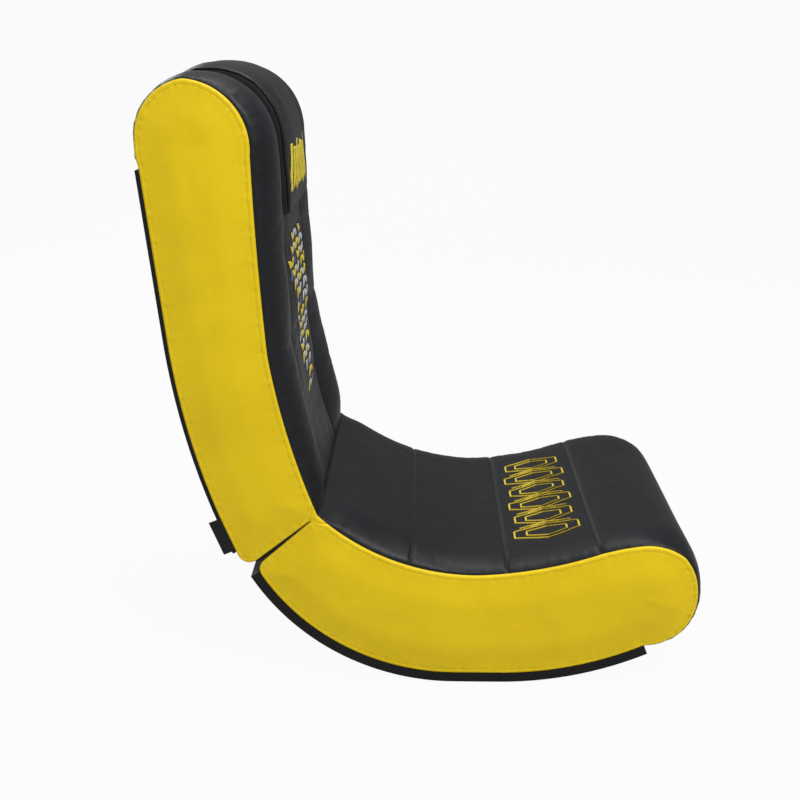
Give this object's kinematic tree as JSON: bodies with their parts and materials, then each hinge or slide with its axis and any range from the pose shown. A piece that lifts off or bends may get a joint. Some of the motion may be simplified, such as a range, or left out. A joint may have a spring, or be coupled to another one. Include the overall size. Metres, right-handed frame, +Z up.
{
  "type": "folding floor rocker chair",
  "caption": "Padded legless floor rocker: an upholstered seat on a curved rocker board, and a high bolstered backrest hinged at the crease that folds forward onto the seat.",
  "frame": {"origin": "middle of the overall box, on the floor under the rocker board", "axes": "+X to the front of the seat, +Y to the sitter's left, +Z up the backrest"},
  "size_m": [0.7203, 0.45, 0.8],
  "materials": {
    "yellow_leather": "fine-grained faux leather, satin",
    "black_leather": "smooth faux leather, soft sheen",
    "black_fabric": "matte woven backing cloth",
    "padding": "open-cell upholstery foam",
    "webbing": "woven elastic webbing",
    "tag_cloth": "woven satin ribbon, blank",
    "timber": "planed softwood and particle board",
    "board_black": "plywood and hardboard under black cloth",
    "steel": "zinc plated",
    "hinge_steel": "pressed, zinc plated",
    "rail_steel": "steel box section, clear lacquer",
    "pillow_fill": "fibre pillow in black faux leather"
  },
  "bodies": {
    "seat": {"rocker_board": "board_black", "rocker_board_screws": "steel", "hinge_pin_left": "steel", "hinge_pin_right": "steel", "hinge_leaf_seat_left": "hinge_steel", "hinge_leaf_seat_right": "hinge_steel", "hinge_screws_seat": "steel", "seat_frame_screws": "steel", "seat_cheek_left": "timber", "seat_cheek_right": "timber", "seat_rear_rail": "timber", "seat_middle_rail": "rail_steel", "seat_front_rail": "rail_steel", "seat_deck": "timber", "seat_end_cover": "black_fabric", "seat_side_cover_left": "yellow_leather", "seat_side_cover_right": "yellow_leather", "seat_cover_rear": "black_leather", "seat_cover_middle": "black_leather", "seat_cover_front": "black_leather", "seat_cover_nose": "black_leather", "seat_foam": "padding"},
    "backrest": {"hinge_leaf_back_left": "hinge_steel", "hinge_leaf_back_right": "hinge_steel", "hinge_screws_back": "steel", "back_frame_screws": "steel", "back_cheek_left": "timber", "back_cheek_right": "timber", "back_foot_rail": "timber", "back_waist_rail": "timber", "back_head_rail": "timber", "back_straps": "webbing", "rear_panel": "black_fabric", "back_end_cover": "black_fabric", "back_side_cover_left": "yellow_leather", "back_side_cover_right": "yellow_leather", "back_foam": "padding", "bolster_cover_left": "black_leather", "bolster_cover_right": "black_leather", "back_centre_cover": "black_leather", "headrest_pillow": "pillow_fill", "seam_tag": "tag_cloth"}
  },
  "joints": [
    {"name": "backrest_fold", "type": "hinge", "parent": "seat", "child": "backrest", "pos_m": [-0.15378, 0, 0.23436], "axis": [0, 1, 0], "range_deg": [0, 92]}
  ]
}
